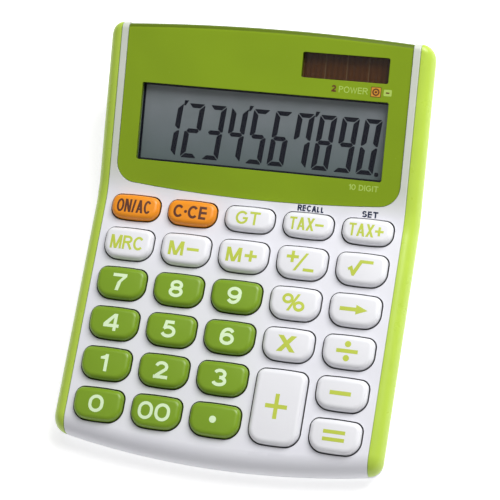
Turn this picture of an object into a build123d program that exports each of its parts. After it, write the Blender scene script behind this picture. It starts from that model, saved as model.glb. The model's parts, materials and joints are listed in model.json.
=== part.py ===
from build123d import *
import math
import os

# A ten-digit desktop calculator: bent two-piece case with green side trims, a glossy display
# panel, a two-window display deck, sprung keys on a rubber sheet, a circuit board and a
# hinged battery door.
#
# Everything is drawn in the case frame: X to the right, Y towards the display, Z out of the
# keypad surface, with Z = 0 on that surface. place() tilts it onto the table at the end.

# ---- driving dimensions, in millimetres and degrees ----
CASE_TILT = 3.0          # keypad surface against the table
DISPLAY_TILT = 17.4      # display surface against the keypad surface
CREASE_Y = 16.9          # where the two surfaces meet
CREASE_RADIUS = 30.0

HALF_WIDTH = 53.85
SIDE_LEAN = 9.5          # how far the side walls lean in, square to the upper surface
FRONT_Y = -66.3          # middle of the front edge
BACK_Y = 71.45           # middle of the back edge
FRONT_ARC = 283.0        # plan radius of the bowed front edge
BACK_ARC = 756.0
FRONT_ROUND = 6.0
BACK_ROUND = 2.2
SIDE_ROUND = 4.4

WALL = 2.0
FRONT_HEIGHT = 10.5      # keypad surface above the table at FRONT_HEIGHT_Y
FRONT_HEIGHT_Y = -60.0
FOOT_HEIGHT = 0.8        # how far the feet stand out of the base
BASE_ROUND = 1.2
SPLIT_HEIGHT = 3.2       # seam between the two case halves, above the table

CORE_HALF = 48.75        # half the white surface between the trims
TRIM_GAP = 0.08
TRIM_DEPTH = 6.0
CAVITY_HALF = 46.5

KEY_PITCH_X = 19.0
KEY_PITCH_Y = 13.07
TOP_ROW_Y = 12.13
KEY_WIDTH = 15.9
KEY_HEIGHT = 10.3
TOP_KEY_HEIGHT = 8.1
KEY_TOP = 2.5            # crown of a key above the keypad surface
KEY_SKIRT = 2.9          # bottom of a key's skirt below it
KEY_GAP = 0.42
KEY_WALL = 1.2
KEY_EDGE = 1.6           # rounding around the crown
DOME_RADIUS = 75.0       # of the crown's shallow dome
TALL_DOME_RADIUS = 160.0

SHEET_TOP = -4.5
SHEET_THICK = 0.7
DOME_TOP = -3.05
BOARD_TOP = -5.3
BOARD_THICK = 1.2
BOARD_HALF = 44.8
BOARD_FRONT = -58.5
BOARD_BACK = 24.0
SHEET_BACK = 18.5

PANEL_HALF = 46.4
PANEL_SET_BACK = 0.35
PANEL_THICK = 1.6
PANEL_LOW = 1.95         # middle of the panel's lower edge, up the display surface
PANEL_GAP = 0.12
PANEL_LIP = 5.0
DECK_THICK = 3.9

LCD_CENTRE = (0.0, 23.6)         # apertures in the panel
LCD_SIZE = (80.5, 24.7)
SOLAR_CENTRE = (25.55, 45.6)
SOLAR_SIZE = (27.8, 7.95)
GLASS_CENTRE = (0.0, 22.25)
GLASS_SIZE = (84.0, 31.0)
GLASS_THICK = 2.2
SOLAR_CELL_SIZE = (29.8, 10.1)
SOLAR_CELL_THICK = 1.2
SOLAR_LEADS_X = (29.0, 37.0)
WINDOW_THICK = 1.0
SEAT_GAP = 0.3

CASE_SCREWS = [(-28.5, -32.7), (28.5, -32.7), (-28.5, 6.5), (28.5, 6.5), (-42.8, 61.5), (42.8, 61.5)]
BOARD_SCREWS = [(-9.5, -32.7), (9.5, -32.7), (-9.5, 6.5), (9.5, 6.5)]
PILLAR_LOW = -7.6        # bottom of the case pillars; the base's bosses meet them
PILLAR_RADIUS = 1.9
POST_RADIUS = 1.6
HEAD_RADIUS = 2.0
HEAD_DEPTH = 1.3
FEET = [(-42.0, -50.0), (42.0, -50.0), (-42.0, 50.0), (42.0, 50.0)]
FOOT_RADIUS = 4.0
FLOOR_TOP = 2.6          # inside of the base's floor, above the table
RIM_TOP = 4.8            # top of the locating rim inside the base

DOOR_CENTRE = (-18.0, 38.0)
DOOR_SIZE = (26.0, 19.0)
DOOR_THICK = 1.6
DOOR_GAP = 0.25
HINGE_PIN = 0.5          # radius
WELL_TOP = 9.6
WELL_WALL = 1.2
CELL_CENTRE = (-22.0, 38.0)
CELL_RADIUS = 5.8
CELL_LOW = 2.65
CELL_HEIGHT = 5.4
BATTERY_LEADS_X = (-13.5, -9.0)
LEAD_HEIGHT = 7.7

HUGE = 200.0
CASE_LOW = -45.0         # deeper than any part of the case

# ---- frames ----
DISPLAY = Location((0, CREASE_Y, 0), (DISPLAY_TILT, 0, 0))
tilt = math.radians(CASE_TILT)
table_low = FRONT_HEIGHT_Y * math.sin(tilt) - FRONT_HEIGHT * math.cos(tilt)
TO_TABLE = Location((0, 0, -table_low)) * Location((0, 0, 0), (CASE_TILT, 0, 0))
FROM_TABLE = TO_TABLE.inverse()


def base_z(y, height=FOOT_HEIGHT):
    """Case-frame Z of the plane at this height above the table, at this Y."""
    return (height + table_low - y * math.sin(tilt)) / math.cos(tilt)


def table_slab(low, high, half_x=HUGE, centre=(0, 0), half_y=HUGE):
    """A block between two heights above the table, in the case frame."""
    block = Pos(centre[0], centre[1], (low + high) / 2) * Box(2 * half_x, 2 * half_y, high - low)
    return FROM_TABLE * block


def rod(x, y, low, high, radius):
    """A cylinder along the case frame's Z."""
    return Pos(x, y, (low + high) / 2) * Cylinder(radius, high - low)


# ---- the case as a solid block, set in from its outer surface ----
def under(inset, half_x=HUGE):
    """All that lies at least this far below the bent upper surface."""
    angle = math.radians(DISPLAY_TILT)
    crease = (CREASE_Y + inset * math.tan(angle / 2), -inset)
    back = (crease[0] + HUGE * math.cos(angle), crease[1] + HUGE * math.sin(angle))
    outline = [(-HUGE, CASE_LOW), (-HUGE, -inset), crease, back, (back[0], CASE_LOW)]
    face = make_face(Polyline(*outline, close=True))
    bend = face.vertices().sort_by_distance(Vector(*crease))[0]
    face = fillet(bend, CREASE_RADIUS + inset)
    return extrude(Plane.YZ * face, amount=half_x, both=True)


def plan(inset, half_x):
    """The case seen from above, with a bowed front and back."""
    front_radius, back_radius = FRONT_ARC - inset, BACK_ARC - inset
    front_y, back_y = FRONT_Y + inset, BACK_Y - inset
    front_side = front_y + front_radius - math.sqrt(front_radius**2 - half_x**2)
    back_side = back_y - back_radius + math.sqrt(back_radius**2 - half_x**2)
    front = ThreePointArc((-half_x, front_side), (0, front_y), (half_x, front_side))
    back = ThreePointArc((half_x, back_side), (0, back_y), (-half_x, back_side))
    right = Line((half_x, front_side), (half_x, back_side))
    left = Line((-half_x, back_side), (-half_x, front_side))
    return make_face(front + right + back + left)


def leaning_sides(half_x):
    """All between two walls this far from the middle at the upper surface, leaning in below it."""
    slope = math.tan(math.radians(SIDE_LEAN))
    corners = [(half_x + slope * HUGE, HUGE), (half_x + slope * 2 * CASE_LOW, 2 * CASE_LOW)]
    corners += [(-x, z) for x, z in reversed(corners)]
    wedge = extrude(Plane.XZ * make_face(Polyline(*corners, close=True)), amount=HUGE, both=True)
    return wedge & (DISPLAY * wedge)


def block(inset, half_x, side_round=0.0, lean=False):
    """The case filled in, this far inside its outer surface, with its upper edges rounded."""
    prism = Pos(0, 0, CASE_LOW) * extrude(plan(inset, half_x + 1.0 if lean else half_x), amount=HUGE)
    solid = prism & under(inset)
    if lean:
        solid &= leaning_sides(half_x)
    front_edges = [
        e
        for e in solid.edges().filter_by(GeomType.CIRCLE)
        if abs(e.center().Y - FRONT_Y) < 6 + inset and e.center().Z > CASE_LOW / 2
    ]
    solid = fillet(front_edges, max(FRONT_ROUND - inset, 0.5))
    back_edges = [
        e
        for e in solid.edges()
        if e.center().Y > BACK_Y - 6 - inset and e.center().Z > 5 and abs(e.center().X) < 1
    ]
    solid = fillet(back_edges, max(BACK_ROUND - inset, 0.4))
    if side_round:
        sides = [f for f in solid.faces().filter_by(GeomType.PLANE) if abs(f.normal_at().X) > 0.9]
        edges = [e for face in sides for e in face.edges() if e.center().Z > CASE_LOW + 1]
        rim = [e for e in edges if sum(e.is_same(other) for other in edges) == 1]
        solid = fillet(rim, side_round)
    return solid


OUTER = block(0, HALF_WIDTH, SIDE_ROUND, lean=True)


def side_slab(side, inner):
    """All that lies beyond this X on one side."""
    return Pos(side * (inner + HUGE / 2), 0, 0) * Box(HUGE, 2 * HUGE, 2 * HUGE)


def display_box(centre, size, low, high):
    """A box square to the display surface, between two distances from it."""
    x, v = centre
    return DISPLAY * (Pos(x, v, (low + high) / 2) * Box(size[0], size[1], high - low))


def grown(size, margin):
    return (size[0] + 2 * margin, size[1] + 2 * margin)


# ---- display panel and its deck ----
def panel_prism(grow, low, high=6.0):
    """The panel's outline as a prism square to the display surface, open towards the back."""
    half, corner, bow = PANEL_HALF + grow, 6.5 + grow, 2.3
    lower = PANEL_LOW - grow
    outline = ThreePointArc((-half, lower + bow), (0, lower), (half, lower + bow))
    outline += Polyline((half, lower + bow), (half, 80), (-half, 80), (-half, lower + bow))
    face = make_face(outline)
    face = fillet(face.vertices().sort_by(Axis.Y)[:2], corner)
    return DISPLAY * (Pos(0, 0, low) * extrude(face, amount=high - low))


def inner_block(inset):
    return block(inset, HALF_WIDTH - inset, lean=True)


def display_panel():
    low = PANEL_SET_BACK + PANEL_THICK
    skin = inner_block(PANEL_SET_BACK) - inner_block(low)
    panel = skin & panel_prism(0, -PANEL_LIP)
    for centre, size in ((LCD_CENTRE, LCD_SIZE), (SOLAR_CENTRE, SOLAR_SIZE)):
        hole = display_box(centre, size, -5, 5)
        panel -= fillet(hole.edges().filter_by(lambda e: abs(e.length - 10) < 1e-3), 0.6)
    return panel


# ---- keys ----
def key_outline(width, height, grow=0.0):
    """A key from above: bowed ends, tight upper corners and wide lower ones."""
    half_x, half_y = width / 2 + grow, height / 2 + grow
    upper_bow, lower_bow = 0.35, 0.55
    upper_corner = 2.6 + grow
    lower_corner = min(4.6, height / 2 - 0.4) + grow
    top = ThreePointArc((half_x, half_y - upper_bow), (0, half_y), (-half_x, half_y - upper_bow))
    bottom = ThreePointArc((-half_x, lower_bow - half_y), (0, -half_y), (half_x, lower_bow - half_y))
    left = Line((-half_x, half_y - upper_bow), (-half_x, lower_bow - half_y))
    right = Line((half_x, lower_bow - half_y), (half_x, half_y - upper_bow))
    face = make_face(top + left + bottom + right)
    face = fillet(face.vertices().sort_by(Axis.Y)[:2], lower_corner)
    return fillet(face.vertices().sort_by(Axis.Y)[-2:], upper_corner)


def key_cap(height):
    """A hollow cap with a domed top and two keeper tabs, about its own centre."""
    shoulder, above = 0.4, KEY_TOP + 0.5
    outline = key_outline(KEY_WIDTH, height)
    drawn_in = key_outline(KEY_WIDTH, height, -0.16 * (above - shoulder))
    skirt = Pos(0, 0, -KEY_SKIRT) * extrude(outline, amount=KEY_SKIRT + shoulder)
    crown = loft([Pos(0, 0, shoulder) * outline, Pos(0, 0, above) * drawn_in], ruled=True)
    dome_radius = TALL_DOME_RADIUS if height > KEY_WIDTH else DOME_RADIUS
    cap = (skirt + crown) & (Pos(0, 0, KEY_TOP - dome_radius) * Sphere(dome_radius))
    top = cap.faces().sort_by(Axis.Z)[-1]
    cap = fillet(top.edges(), KEY_EDGE)
    hollow = key_outline(KEY_WIDTH - 2 * KEY_WALL, height - 2 * KEY_WALL)
    cap -= Pos(0, 0, -KEY_SKIRT) * extrude(hollow, amount=KEY_SKIRT + KEY_TOP - 1.5)
    for side in (-1, 1):
        cap += Pos(0, side * (height / 2 + 0.1), 0.35 - KEY_SKIRT) * Box(5.0, 1.6, 0.7)
    return cap


def plungers(height):
    """Where a key bears on the rubber sheet: one place, or two on the tall key."""
    return (-KEY_PITCH_Y / 2, KEY_PITCH_Y / 2) if height > KEY_WIDTH else (0,)


def key(x, y, height):
    cap = key_cap(height)
    for offset in plungers(height):
        cap += rod(0, offset, DOME_TOP + 0.03, KEY_TOP - 1.3, 2.0)
    return Pos(x, y, 0) * cap


KEY_NAMES = [
    ("on_ac", "c_ce", "gt", "tax_minus", "tax_plus"),
    ("mrc", "m_minus", "m_plus", "sign", "root"),
    ("7", "8", "9", "percent", "arrow"),
    ("4", "5", "6", "multiply", "divide"),
    ("1", "2", "3", "plus", "minus"),
    ("0", "00", "point", None, "equals"),
]


def key_table():
    """Name, centre X, centre Y and height of every key."""
    keys = []
    for row, names in enumerate(KEY_NAMES):
        for column, name in enumerate(names):
            x = (column - 2) * KEY_PITCH_X
            y = TOP_ROW_Y if row == 0 else (1 - row) * KEY_PITCH_Y
            height = TOP_KEY_HEIGHT if row == 0 else KEY_HEIGHT
            if name == "plus":
                y -= KEY_PITCH_Y / 2
                height += KEY_PITCH_Y
            if name:
                keys.append((f"key_{name}", x, y, height))
    return keys


KEYS = key_table()


# ---- upper case and trims ----
def top_shell():
    step = TRIM_DEPTH + TRIM_GAP
    shell = (block(0, CORE_HALF, 0.35) - under(step + 0.5)) + (OUTER & under(step))
    shell -= block(WALL, CAVITY_HALF)
    shell -= inner_block(WALL) & under(step + WALL)
    deck = inner_block(1.0) - inner_block(DECK_THICK)
    shell += deck & panel_prism(1.2, -PANEL_LIP - 1.5)
    solid_part = inner_block(1.0)
    cell_floor = GLASS_TOP - SOLAR_CELL_THICK - 0.05
    shell += display_box(SOLAR_CENTRE, grown(SOLAR_CELL_SIZE, 1.2), cell_floor - 1, -3) & solid_part
    for x, y in CASE_SCREWS:
        shell += rod(x, y, PILLAR_LOW, 25, PILLAR_RADIUS) & solid_part
    for x, y in BOARD_SCREWS:
        shell += rod(x, y, BOARD_TOP + 0.05, 0, POST_RADIUS) & solid_part
    floor = PANEL_SET_BACK + PANEL_THICK + 0.1
    shell -= panel_prism(PANEL_GAP, -PANEL_LIP - PANEL_GAP) - inner_block(floor)
    shell -= display_box(GLASS_CENTRE, grown(GLASS_SIZE, SEAT_GAP), -8, 8)
    shell -= display_box(SOLAR_CENTRE, grown(SOLAR_CELL_SIZE, SEAT_GAP), cell_floor, 8)
    for x in SOLAR_LEADS_X:
        shell -= display_box((x, SOLAR_CENTRE[1]), (1.6, 1.6), cell_floor - 3, 8)
    for x, y in CASE_SCREWS:
        shell -= rod(x, y, PILLAR_LOW - 1, -3.2, 0.85)
    for x, y in BOARD_SCREWS:
        shell -= rod(x, y, -6, -2.6, 0.55)
    for _, x, y, height in KEYS:
        opening = key_outline(KEY_WIDTH, height, KEY_GAP)
        shell -= Pos(x, y, -4) * extrude(opening, amount=8)
    return shell - table_slab(-50, SPLIT_HEIGHT)


def side_trim(side):
    return (OUTER & side_slab(side, CORE_HALF + TRIM_GAP)) - under(TRIM_DEPTH)


# ---- what lies behind the two windows ----
WINDOW_TOP = -(PANEL_SET_BACK + PANEL_THICK + 0.1)
GLASS_TOP = WINDOW_TOP - WINDOW_THICK - 0.1


def window(centre, size):
    """A clear plate against the back of the panel."""
    return display_box(centre, size, WINDOW_TOP - WINDOW_THICK, WINDOW_TOP)


def backed_plate(centre, size, thick):
    """The display glass or the solar cell, just under its window."""
    return display_box(centre, size, GLASS_TOP - thick, GLASS_TOP)


def lcd_holder():
    """A tray under the deck that carries the display glass."""
    top, ledge = -DECK_THICK - 0.05, GLASS_TOP - GLASS_THICK - 0.05
    tray = display_box(GLASS_CENTRE, grown(GLASS_SIZE, 1.5), ledge - 0.8, top)
    tray -= display_box(GLASS_CENTRE, grown(GLASS_SIZE, 0.1), ledge, top + 1)
    return tray - display_box(GLASS_CENTRE, grown(GLASS_SIZE, -2.2), ledge - 2, top + 1)


def on_display(v, w):
    """Case-frame Y and Z of a point up the display surface and this far out of it."""
    angle = math.radians(DISPLAY_TILT)
    y = CREASE_Y + v * math.cos(angle) - w * math.sin(angle)
    return y, v * math.sin(angle) + w * math.cos(angle)


def display_ribbon():
    """The flat cable from the back of the display glass to the circuit board."""
    start = on_display(12.5, GLASS_TOP - GLASS_THICK - 0.12)
    middle = on_display(9.0, GLASS_TOP - GLASS_THICK - 1.9)
    end = (BOARD_BACK - 3.0, BOARD_TOP + 0.13)
    points = [(0, *start), (0, *middle), (0, end[0] + 3, end[1] + 0.25), (0, *end)]
    along = on_display(-1, 0)
    first = (0, along[0] - CREASE_Y, along[1])
    path = Spline(*points, tangents=[first, (0, -1, 0)])
    across = Plane(origin=path @ 0, x_dir=(1, 0, 0), z_dir=path % 0)
    return sweep(across * Rectangle(50, 0.16), path)


def wire(points, tangents, radius=0.35):
    path = Spline(*points, tangents=tangents)
    return sweep(Plane(origin=path @ 0, z_dir=path % 0) * Circle(radius), path)


def solar_leads():
    leads = []
    for x in SOLAR_LEADS_X:
        start = on_display(SOLAR_CENTRE[1], GLASS_TOP - SOLAR_CELL_THICK - 0.03)
        low = (x, start[0] - 7, -3.0)
        points = [(x, *start), low, (x, 33, -4.7), (x, BOARD_BACK - 1.4, BOARD_TOP + 0.37)]
        leads.append(wire(points, [(0, 0.3, -0.95), (0, -1, 0)]))
    return Compound(leads)


# ---- rubber sheet and circuit board ----
def between_board(low, high, back, pillar_gap, post_radius):
    """A flat sheet across the keypad, clear of the pillars and posts."""
    sheet = Pos(0, (BOARD_FRONT + back) / 2, (low + high) / 2) * Box(
        2 * BOARD_HALF, back - BOARD_FRONT, high - low
    )
    sheet = fillet(sheet.edges().filter_by(Axis.Z), 2.0)
    for x, y in CASE_SCREWS:
        if y < back:
            sheet -= rod(x, y, low - 1, high + 1, PILLAR_RADIUS + pillar_gap)
    for x, y in BOARD_SCREWS:
        sheet -= rod(x, y, low - 1, high + 1, post_radius)
    return sheet


def keypad_membrane():
    bottom = SHEET_TOP - SHEET_THICK
    sheet = between_board(bottom, SHEET_TOP, SHEET_BACK, 0.35, POST_RADIUS + 0.35)
    rise, inside = DOME_TOP - SHEET_TOP, DOME_TOP - 0.5 - bottom
    for _, x, y, height in KEYS:
        for offset in plungers(height):
            sheet += Pos(x, y + offset, SHEET_TOP + rise / 2) * Cone(2.7, 2.1, rise)
            sheet -= Pos(x, y + offset, bottom + inside / 2) * Cone(2.2, 1.5, inside)
    return sheet


def circuit_board():
    return between_board(BOARD_TOP - BOARD_THICK, BOARD_TOP, BOARD_BACK, 0.35, 0.7)


def chip_blob():
    """The sealed chip under the board."""
    low = BOARD_TOP - BOARD_THICK
    ball = Pos(4, 14, low + 12.0) * Sphere(13.5)
    return ball & rod(4, 14, low - 4, low - 0.02, 8.0)


def board_components():
    """A can, two discs and a row of small blocks on the underside of the board."""
    low = BOARD_TOP - BOARD_THICK - 0.02
    can = Pos(-16, 15, low - 2.1) * Rot(0, 90, 0) * Cylinder(2.0, 6.5)
    can = fillet(can.edges(), 0.4)
    parts = [can]
    for x in (18.5, 24.0):
        disc = Pos(x, 17, low - 1.1) * Rot(0, 90, 0) * Cylinder(1.1, 1.4)
        parts.append(fillet(disc.edges(), 0.35))
    for step in range(5):
        parts.append(Pos(-8 + 2.6 * step, 21.2, low - 0.3) * Box(1.2, 2.0, 0.6))
    return Compound(parts)


def screw(x, y, head_low, head_depth, head_radius, tip, shank_radius):
    """A pan-head screw along the case frame's Z, head downwards, with a cross recess."""
    head = rod(x, y, head_low, head_low + head_depth, head_radius)
    head = fillet(head.edges().sort_by(Axis.Z)[0], 0.4 * head_depth)
    for angle in (0, 90):
        slot = Pos(x, y, head_low) * Rot(0, 0, angle) * Box(1.3 * head_radius, 0.45, head_depth)
        head -= slot
    return head + rod(x, y, head_low + head_depth, tip, shank_radius)


def case_screws():
    screws = []
    for x, y in CASE_SCREWS:
        seat = base_z(y) + HEAD_DEPTH
        screws.append(screw(x, y, seat - 1.1, 1.08, HEAD_RADIUS, -3.8, 0.8))
    return Compound(screws)


def board_screws():
    low = BOARD_TOP - BOARD_THICK
    return Compound([screw(x, y, low - 1.02, 1.0, 1.6, -3.0, 0.5) for x, y in BOARD_SCREWS])


# ---- base ----
def on_table(x, y, low, high, radius):
    """A cylinder square to the table, between two heights above it."""
    return FROM_TABLE * (Pos(x, y, (low + high) / 2) * Cylinder(radius, high - low))


def table_box(centre, size, low, high):
    x, y = centre
    return FROM_TABLE * (Pos(x, y, (low + high) / 2) * Box(size[0], size[1], high - low))


def hinge_line():
    """Table-frame Y and height of the door's hinge."""
    return DOOR_CENTRE[1] - DOOR_SIZE[1] / 2 + DOOR_THICK / 2, FOOT_HEIGHT + DOOR_THICK / 2


def hinge_rod(half_length, radius):
    y, height = hinge_line()
    pin = Pos(DOOR_CENTRE[0], y, height) * Rot(0, 90, 0) * Cylinder(radius, 2 * half_length)
    return FROM_TABLE * pin


def bottom_shell():
    shell = OUTER & table_slab(FOOT_HEIGHT, SPLIT_HEIGHT - 0.1)
    lower = (TO_TABLE * shell).edges().group_by(Axis.Z)[0]
    shell = FROM_TABLE * fillet(lower, BASE_ROUND)
    shell -= inner_block(3.35) & table_slab(FLOOR_TOP, 30)
    rim = block(WALL + 0.15, CAVITY_HALF - 0.15) - block(WALL + 1.35, CAVITY_HALF - 1.35)
    shell += rim & table_slab(FLOOR_TOP - 0.6, RIM_TOP)
    low, high = FLOOR_TOP - 0.5, WELL_TOP
    shell += table_box(DOOR_CENTRE, grown(DOOR_SIZE, DOOR_GAP + WELL_WALL), low, high)
    shell -= table_box(DOOR_CENTRE, grown(DOOR_SIZE, DOOR_GAP), -1, high - WELL_WALL)
    cradle = on_table(*CELL_CENTRE, CELL_LOW + 1, high - 0.5, CELL_RADIUS + 1.2)
    cradle -= on_table(*CELL_CENTRE, 0, high - WELL_WALL, CELL_RADIUS + 0.15)
    shell += cradle - table_box((CELL_CENTRE[0] + 6, CELL_CENTRE[1]), (12, 12), 0, high - WELL_WALL)
    for x, y in CASE_SCREWS:
        shell += rod(x, y, base_z(y, FLOOR_TOP - 0.5), PILLAR_LOW - 0.05, 3.2)
        shell -= rod(x, y, base_z(y, -2), base_z(y) + HEAD_DEPTH, HEAD_RADIUS + 0.3)
        shell -= rod(x, y, base_z(y, -2), PILLAR_LOW + 1, 1.1)
    for x, y in FEET:
        shell -= on_table(x, y, 0, FOOT_HEIGHT + 0.5, FOOT_RADIUS + 0.1)
    shell -= hinge_rod(DOOR_SIZE[0] / 2 + 1.3, HINGE_PIN + 0.12)
    thumb = (DOOR_CENTRE[0], DOOR_CENTRE[1] + DOOR_SIZE[1] / 2 + 0.6)
    shell -= on_table(*thumb, 0, FOOT_HEIGHT + 0.9, 5.0)
    well_front = DOOR_CENTRE[1] - DOOR_SIZE[1] / 2
    for x in BATTERY_LEADS_X:
        shell -= table_box((x, well_front), (1.2, 6), LEAD_HEIGHT - 0.7, LEAD_HEIGHT + 0.5)
    return shell


def rubber_feet():
    feet = []
    for x, y in FEET:
        foot = on_table(x, y, 0, FOOT_HEIGHT + 0.45, FOOT_RADIUS)
        rim = (TO_TABLE * foot).edges().sort_by(Axis.Z)[0]
        feet.append(FROM_TABLE * fillet(rim, 0.4))
    return Compound(feet)


def battery_door():
    """A flat lid with a rounded hinge edge, two pins and a snap tongue."""
    x, y = DOOR_CENTRE
    hinge_y, height = hinge_line()
    plate = table_box(
        (x, (hinge_y + y + DOOR_SIZE[1] / 2) / 2),
        (DOOR_SIZE[0], y + DOOR_SIZE[1] / 2 - hinge_y),
        FOOT_HEIGHT,
        FOOT_HEIGHT + DOOR_THICK,
    )
    door = plate + hinge_rod(DOOR_SIZE[0] / 2, DOOR_THICK / 2)
    door += hinge_rod(DOOR_SIZE[0] / 2 + 1.1, HINGE_PIN)
    back = y + DOOR_SIZE[1] / 2
    door += table_box((x, back - 1.0), (8.0, 1.0), FOOT_HEIGHT + 1, FOOT_HEIGHT + DOOR_THICK + 2.2)
    for line in range(4):
        door -= table_box((x, back - 2.6 - 1.2 * line), (9.0, 0.5), 0, FOOT_HEIGHT + 0.35)
    return door


def battery_cell():
    """A button cell: a wide can with a narrower cap above it."""
    x, y = CELL_CENTRE
    can = on_table(x, y, CELL_LOW, CELL_LOW + 4.6, CELL_RADIUS)
    cell = can + on_table(x, y, CELL_LOW + 4.5, CELL_LOW + CELL_HEIGHT, CELL_RADIUS - 1.0)
    rims = [e for e in (TO_TABLE * cell).edges().filter_by(GeomType.CIRCLE)]
    return FROM_TABLE * fillet([e for e in rims if abs(e.center().Z - CELL_LOW) < 0.01], 0.4)


def contact_cap():
    """The flat strip on the roof of the battery well, over the cell's cap."""
    x, y = CELL_CENTRE
    top = WELL_TOP - WELL_WALL - 0.03
    strip = table_box((x + 4.0, y - 3), (12.0, 3.4), top - 0.25, top)
    return strip + table_box((x, y - 1.5), (3.4, 5.0), top - 0.25, top)


def contact_can():
    """The upright strip beside the cell, with its foot on the roof of the well."""
    x, y = CELL_CENTRE
    top = WELL_TOP - WELL_WALL - 0.03
    upright = table_box((x + CELL_RADIUS + 0.3, y + 1.5), (0.25, 4.6), CELL_LOW + 0.8, top)
    return upright + table_box((x + 10.5, y + 1.5), (9.0, 4.6), top - 0.25, top)


def battery_leads():
    """One wire from each contact, out through the front of the well to the board's underside."""
    leads = []
    for x, start_y in zip(BATTERY_LEADS_X, (CELL_CENTRE[1] - 2, CELL_CENTRE[1] + 1)):
        start = (FROM_TABLE * Pos(x, start_y, LEAD_HEIGHT)).position
        front = (FROM_TABLE * Pos(x, DOOR_CENTRE[1] - DOOR_SIZE[1] / 2 - 1, LEAD_HEIGHT - 0.1)).position
        end = Vector(x, BOARD_BACK - 1.5, BOARD_TOP - BOARD_THICK - 0.37)
        leads.append(wire([start, front, end], [(0, -1, 0.05), (0, -1, 0.02)]))
    return Compound(leads)


# ---- every piece, placed on the table ----
def build_parts():
    shapes = {
        "top_shell": top_shell(),
        "bottom_shell": bottom_shell(),
        "side_trim_left": side_trim(-1),
        "side_trim_right": side_trim(1),
        "display_panel": display_panel(),
        "lcd_window": window(GLASS_CENTRE, GLASS_SIZE),
        "lcd_glass": backed_plate(GLASS_CENTRE, GLASS_SIZE, GLASS_THICK),
        "lcd_holder": lcd_holder(),
        "lcd_ribbon": display_ribbon(),
        "solar_window": window(SOLAR_CENTRE, SOLAR_CELL_SIZE),
        "solar_cell": backed_plate(SOLAR_CENTRE, SOLAR_CELL_SIZE, SOLAR_CELL_THICK),
        "solar_leads": solar_leads(),
        "keypad_membrane": keypad_membrane(),
        "circuit_board": circuit_board(),
        "chip_blob": chip_blob(),
        "board_components": board_components(),
        "board_screws": board_screws(),
        "battery_cell": battery_cell(),
        "battery_contact_cap": contact_cap(),
        "battery_contact_can": contact_can(),
        "battery_leads": battery_leads(),
        "battery_door": battery_door(),
        "rubber_feet": rubber_feet(),
        "case_screws": case_screws(),
    }
    for name, x, y, height in KEYS:
        shapes[name] = key(x, y, height)
    return {name: TO_TABLE * shape for name, shape in shapes.items()}


def main():
    shapes = build_parts()
    boxes = [shape.bounding_box() for shape in shapes.values()]
    middle = (min(box.min.Y for box in boxes) + max(box.max.Y for box in boxes)) / 2
    os.makedirs("parts", exist_ok=True)
    for name, shape in shapes.items():
        export_step(Pos(0, -middle, 0) * shape, f"parts/{name}.step")


main()
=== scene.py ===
import json
import math

import bmesh
import bpy
from mathutils import Matrix, Vector
from mathutils.bvhtree import BVHTree
from mathutils.geometry import delaunay_2d_cdt


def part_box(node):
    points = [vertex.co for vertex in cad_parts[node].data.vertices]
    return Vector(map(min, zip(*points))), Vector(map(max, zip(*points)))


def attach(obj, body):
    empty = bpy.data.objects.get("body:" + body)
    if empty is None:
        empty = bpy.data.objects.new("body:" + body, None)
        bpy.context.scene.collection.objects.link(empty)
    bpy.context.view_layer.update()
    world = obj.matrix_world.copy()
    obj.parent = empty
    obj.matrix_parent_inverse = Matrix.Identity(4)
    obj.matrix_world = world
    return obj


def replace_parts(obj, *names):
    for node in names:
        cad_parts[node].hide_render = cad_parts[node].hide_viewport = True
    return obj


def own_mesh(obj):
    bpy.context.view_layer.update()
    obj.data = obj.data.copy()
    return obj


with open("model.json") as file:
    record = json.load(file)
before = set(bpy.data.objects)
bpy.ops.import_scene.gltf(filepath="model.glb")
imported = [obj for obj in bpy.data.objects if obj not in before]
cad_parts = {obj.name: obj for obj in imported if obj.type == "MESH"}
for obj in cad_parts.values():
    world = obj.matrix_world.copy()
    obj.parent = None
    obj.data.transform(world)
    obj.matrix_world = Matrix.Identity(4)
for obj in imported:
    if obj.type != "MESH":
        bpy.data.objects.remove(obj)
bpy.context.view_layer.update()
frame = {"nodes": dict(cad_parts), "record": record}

# A ten-digit desktop calculator. The CAD pieces keep their shapes and get their materials here. The
# printed legends, the display's digits and the small marks are added as thin printed solids, and the
# silicone sheet is cut into a sheet and one piece for each key's dome.

BODIES = frame["record"]["behaviour"]["bodies"]
MATERIAL_SLOTS = {entry["node"]: entry["material_slot"] for entry in frame["record"]["subparts"]}
KEYS = [node for node in MATERIAL_SLOTS if node.startswith("key_")]

# ---- the case's own frames: millimetres in them, as in the CAD model, and metres outside ----
MM = 0.001
CASE_ORIGIN = Vector((0.0, -3.1262, 13.6258))
CASE_TILT = math.radians(3.0)
DISPLAY_TILT = math.radians(17.4)
CREASE_Y = 16.9                  # where the keypad's surface meets the display's
CASE = (
    Matrix.Translation(CASE_ORIGIN * MM)
    @ Matrix.Rotation(CASE_TILT, 4, "X")
    @ Matrix.Scale(MM, 4)
)
DISPLAY = CASE @ Matrix.Translation((0, CREASE_Y, 0)) @ Matrix.Rotation(DISPLAY_TILT, 4, "X")
CASE_UP = (CASE.to_3x3() @ Vector((0, 0, 1))).normalized()
DISPLAY_UP = (DISPLAY.to_3x3() @ Vector((0, 0, 1))).normalized()

# ---- places that the materials refer to, in millimetres ----
WELLS_SIDE = 46.8                # the key wells' reach to either side
WELLS_MIDDLE = -25.0             # the middle and the reach of their rows, from front to back
WELLS_REACH = 38.5
SOLAR_WIDTH = 27.8               # of the cell's part that shows in the panel's opening


# ---- materials ----
def rgb(red, green, blue):
    """A colour given as 0 to 255 screen values, as the linear colour the shaders take."""
    values = [c / 255 for c in (red, green, blue)]
    linear = [c / 12.92 if c <= 0.04045 else ((c + 0.055) / 1.055) ** 2.4 for c in values]
    return (*linear, 1.0)


def scaled(colour, factor):
    return (*[min(1.0, c * factor) for c in colour[:3]], 1.0)


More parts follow.
